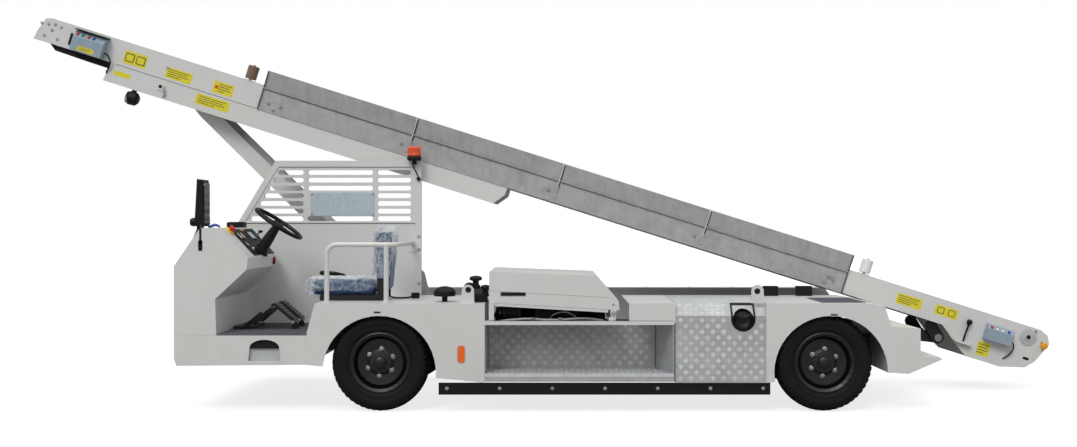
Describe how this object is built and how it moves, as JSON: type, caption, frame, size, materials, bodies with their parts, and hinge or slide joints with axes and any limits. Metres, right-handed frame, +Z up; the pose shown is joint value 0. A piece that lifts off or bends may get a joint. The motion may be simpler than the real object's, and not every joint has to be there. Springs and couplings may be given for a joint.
{
  "type": "baggage belt loader",
  "caption": "Low white self-propelled truck with a long tilting conveyor belt beside its open driver's station.",
  "frame": {"origin": "on the ground under the middle of the vehicle's overall box", "axes": "front towards -X, driver's side towards -Y, +Z up"},
  "size_m": [8.0161, 2.1, 2.9506],
  "materials": {
    "white_paint": "gloss white enamel",
    "black_paint": "satin black enamel",
    "galvanised_steel": "dull galvanised",
    "tread_plate": "five-bar tread plate",
    "tyre_rubber": "matte",
    "belt_rubber": "matte",
    "floor_rubber": "ribbed",
    "seat_fabric": "woven, under clear film",
    "machined_steel": "bright turned",
    "cast_iron": "as cast",
    "black_plastic": "textured",
    "grey_plastic": "moulded",
    "amber_plastic": "clear amber"
  },
  "bodies": {
    "chassis": {"chassis_frame": "black_paint", "front_axle": "black_paint", "rear_axle": "black_paint", "front_body": "white_paint", "dash_pod": "white_paint", "cab_floor": "floor_rubber", "pedals": "black_paint", "left_fender": "white_paint", "rear_fender": "white_paint", "right_body": "white_paint", "step_tray": "tread_plate", "engine_bay_frame": "white_paint", "engine_block": "cast_iron", "locker_box": "tread_plate", "skirt_left": "belt_rubber", "partition": "white_paint", "handrail": "white_paint", "seat_base": "black_paint", "seat_cushion": "seat_fabric", "seat_back": "seat_fabric", "steering_column": "black_plastic", "mirror": "black_plastic", "beacon_stand": "black_plastic", "beacon_lens": "amber_plastic"},
    "knuckle_left": {"knuckle_left": "cast_iron"},
    "knuckle_right": {"knuckle_right": "cast_iron"},
    "front_left_wheel": {"rim_front_left": "black_paint", "tyre_front_left": "tyre_rubber"},
    "front_right_wheel": {"rim_front_right": "black_paint", "tyre_front_right": "tyre_rubber"},
    "rear_left_wheel": {"rim_rear_left": "black_paint", "tyre_rear_left": "tyre_rubber"},
    "rear_right_wheel": {"rim_rear_right": "black_paint", "tyre_rear_right": "tyre_rubber"},
    "steering_wheel": {"steering_wheel": "black_plastic"},
    "hood": {"hood": "white_paint"},
    "rear_arm": {"rear_lift_arm": "black_paint"},
    "pivot_tube": {"pivot_tube": "machined_steel"},
    "conveyor": {"conveyor_side_left": "white_paint", "conveyor_side_right": "white_paint", "conveyor_bed": "galvanised_steel", "belt": "belt_rubber", "head_drum": "machined_steel", "tail_drum": "machined_steel", "pivot_bracket": "black_paint", "side_guard_left": "galvanised_steel", "side_guard_right": "galvanised_steel", "head_control_box": "grey_plastic", "tail_control_box": "grey_plastic", "work_light": "black_plastic"},
    "front_arm": {"front_lift_arm": "white_paint"},
    "front_barrel": {"front_cylinder_barrel": "black_paint"},
    "front_rod": {"front_cylinder_rod": "machined_steel"},
    "rear_barrel": {"rear_cylinder_barrel": "black_paint"},
    "rear_rod": {"rear_cylinder_rod": "machined_steel"}
  },
  "joints": [
    {"name": "steer_left", "type": "hinge", "parent": "chassis", "child": "knuckle_left", "pos_m": [-1.145, -0.75, 0.345], "axis": [0, 0, 1], "range_deg": [-28, 28]},
    {"name": "steer_right", "type": "hinge", "parent": "chassis", "child": "knuckle_right", "pos_m": [-1.145, 0.75, 0.345], "axis": [0, 0, 1], "range_deg": [-28, 28]},
    {"name": "steering_wheel_turn", "type": "hinge", "parent": "chassis", "child": "steering_wheel", "pos_m": [-1.96, -0.55, 1.329], "axis": [0.5592, 0, 0.829], "range_deg": [-449, 449]},
    {"name": "front_left_wheel_spin", "type": "hinge", "parent": "knuckle_left", "child": "front_left_wheel", "pos_m": [-1.145, -0.925, 0.345], "axis": [0, 1, 0], "continuous": true},
    {"name": "rear_left_wheel_spin", "type": "hinge", "parent": "chassis", "child": "rear_left_wheel", "pos_m": [2, -0.925, 0.345], "axis": [0, 1, 0], "continuous": true},
    {"name": "front_right_wheel_spin", "type": "hinge", "parent": "knuckle_right", "child": "front_right_wheel", "pos_m": [-1.145, 0.925, 0.345], "axis": [0, 1, 0], "continuous": true},
    {"name": "rear_right_wheel_spin", "type": "hinge", "parent": "chassis", "child": "rear_right_wheel", "pos_m": [2, 0.925, 0.345], "axis": [0, 1, 0], "continuous": true},
    {"name": "hood_open", "type": "hinge", "parent": "chassis", "child": "hood", "pos_m": [0.506, -0.53, 0.694], "axis": [0, 1, 0], "range_deg": [0, 50]},
    {"name": "rear_lift", "type": "hinge", "parent": "chassis", "child": "rear_arm", "pos_m": [1.393, 0.395, 0.4], "axis": [0, -1, 0], "range_deg": [0, 35]},
    {"name": "pivot_follow", "type": "hinge", "parent": "rear_arm", "child": "pivot_tube", "pos_m": [3.137, 0.395, 0.423], "axis": [0, 1, 0], "range_deg": [0, 26.61]},
    {"name": "conveyor_tilt", "type": "hinge", "parent": "pivot_tube", "child": "conveyor", "pos_m": [3.137, 0.395, 0.423], "axis": [0, 1, 0], "range_deg": [-12, 9]},
    {"name": "front_arm_lift", "type": "hinge", "parent": "chassis", "child": "front_arm", "pos_m": [-0.93, 0.395, 0.47], "axis": [0, 1, 0], "range_deg": [-31.45, 23.59]},
    {"name": "front_cylinder_swing", "type": "hinge", "parent": "chassis", "child": "front_barrel", "pos_m": [-1.83, 0.395, 0.46], "axis": [0, 1, 0], "range_deg": [-3.32, 2.49]},
    {"name": "front_rod_slide", "type": "slide", "parent": "front_barrel", "child": "front_rod", "axis": [0.8753, 0, 0.4835], "range_m": [-0.23627, 0.17723]},
    {"name": "rear_cylinder_swing", "type": "hinge", "parent": "chassis", "child": "rear_barrel", "pos_m": [2.15, 0.395, 0.47], "axis": [0, 1, 0], "range_deg": [0, 1.11]},
    {"name": "rear_rod_slide", "type": "slide", "parent": "rear_barrel", "child": "rear_rod", "axis": [-0.9831, 0, 0.1831], "range_m": [0, 0.13231]}
  ],
  "couplings": [
    {"joint": "steer_right", "follows": "steer_left", "ratio": 1},
    {"joint": "steering_wheel_turn", "follows": "steer_left", "ratio": 16},
    {"joint": "pivot_follow", "follows": "rear_lift", "ratio": 0.76},
    {"joint": "rear_cylinder_swing", "follows": "rear_lift", "ratio": 0.03146},
    {"joint": "rear_rod_slide", "follows": "rear_lift", "m_per_rad": 0.21642},
    {"joint": "front_arm_lift", "follows": "conveyor_tilt", "ratio": 2.62},
    {"joint": "front_cylinder_swing", "follows": "conveyor_tilt", "ratio": 0.27634},
    {"joint": "front_rod_slide", "follows": "conveyor_tilt", "m_per_rad": 1.1275}
  ]
}
